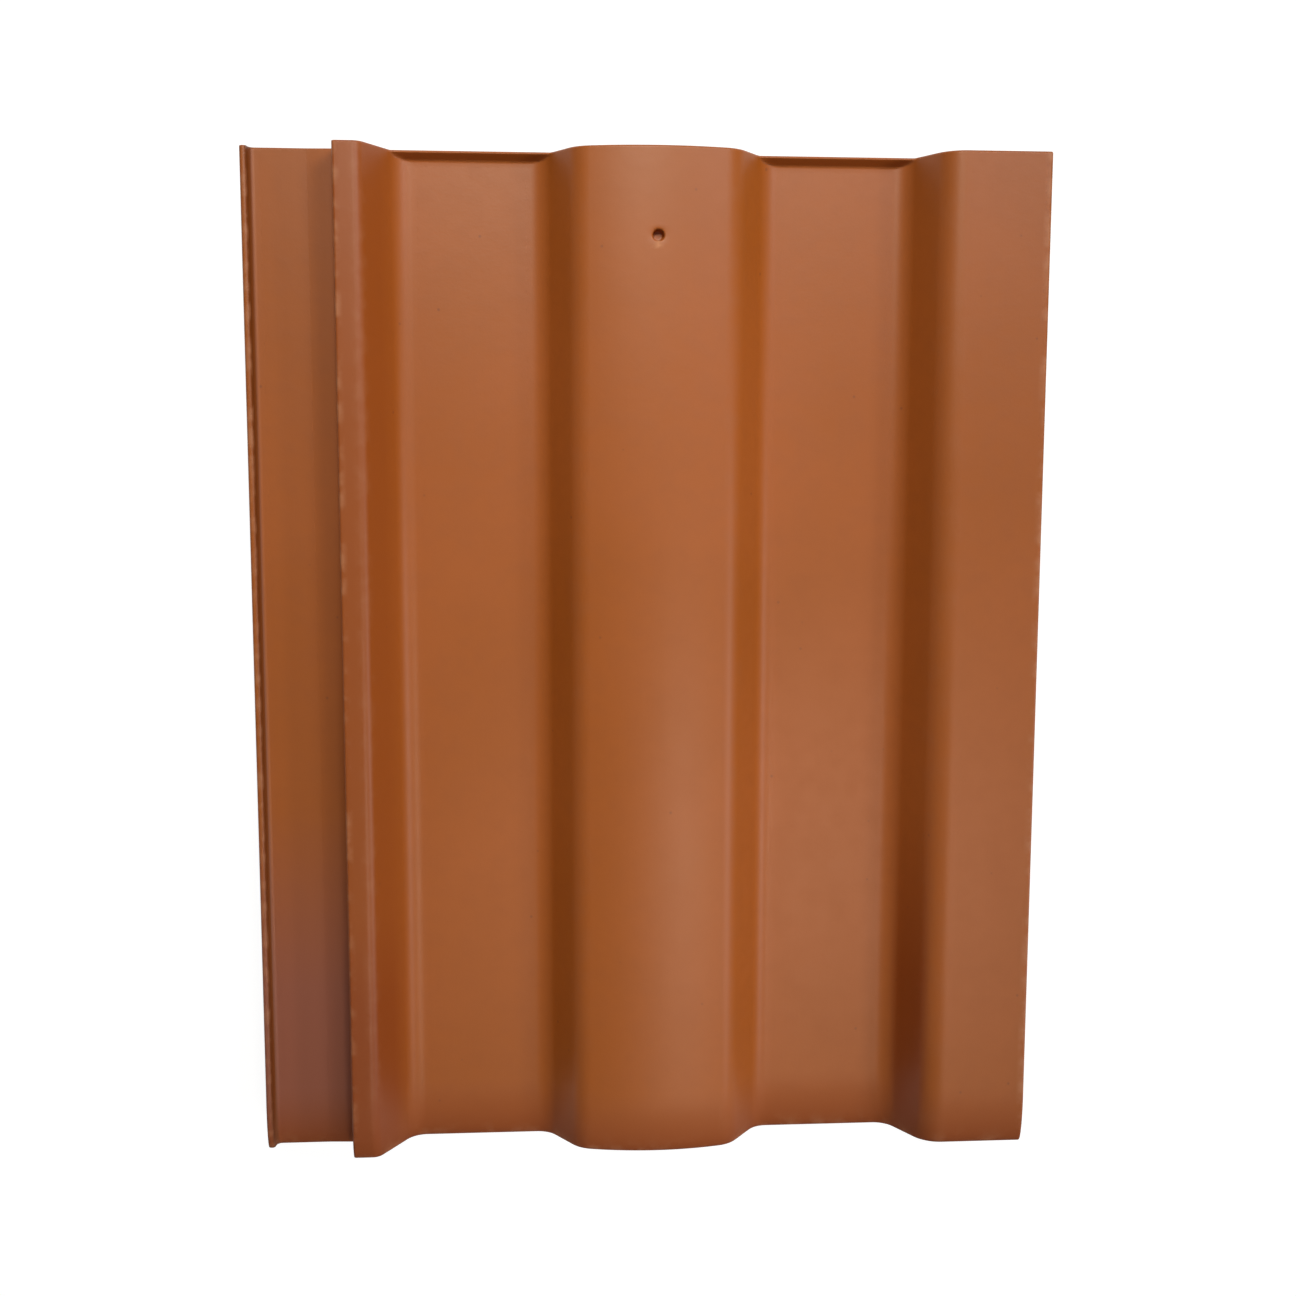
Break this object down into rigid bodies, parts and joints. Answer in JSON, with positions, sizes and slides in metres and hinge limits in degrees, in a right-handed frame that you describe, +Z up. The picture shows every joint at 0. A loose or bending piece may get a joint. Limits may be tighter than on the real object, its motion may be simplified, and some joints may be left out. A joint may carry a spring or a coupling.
{
  "type": "roof tile",
  "caption": "Interlocking clay roof tile with a domed middle roll, flat pans, side lock, head upstands, nail hole, hanging nibs and weather bars.",
  "frame": {"origin": "under the middle of the tile, on the plane that its nibs and weather bars rest on", "axes": "+Y from the nose to the head, +X across the tile from the underlock shelf to the overlock, +Z up out of the weathered face"},
  "size_m": [0.327, 0.42, 0.0465],
  "materials": {
    "fired_clay": "matte, thin terracotta engobe"
  },
  "bodies": {
    "root": {"roof_tile": "fired_clay"}
  },
  "joints": []
}
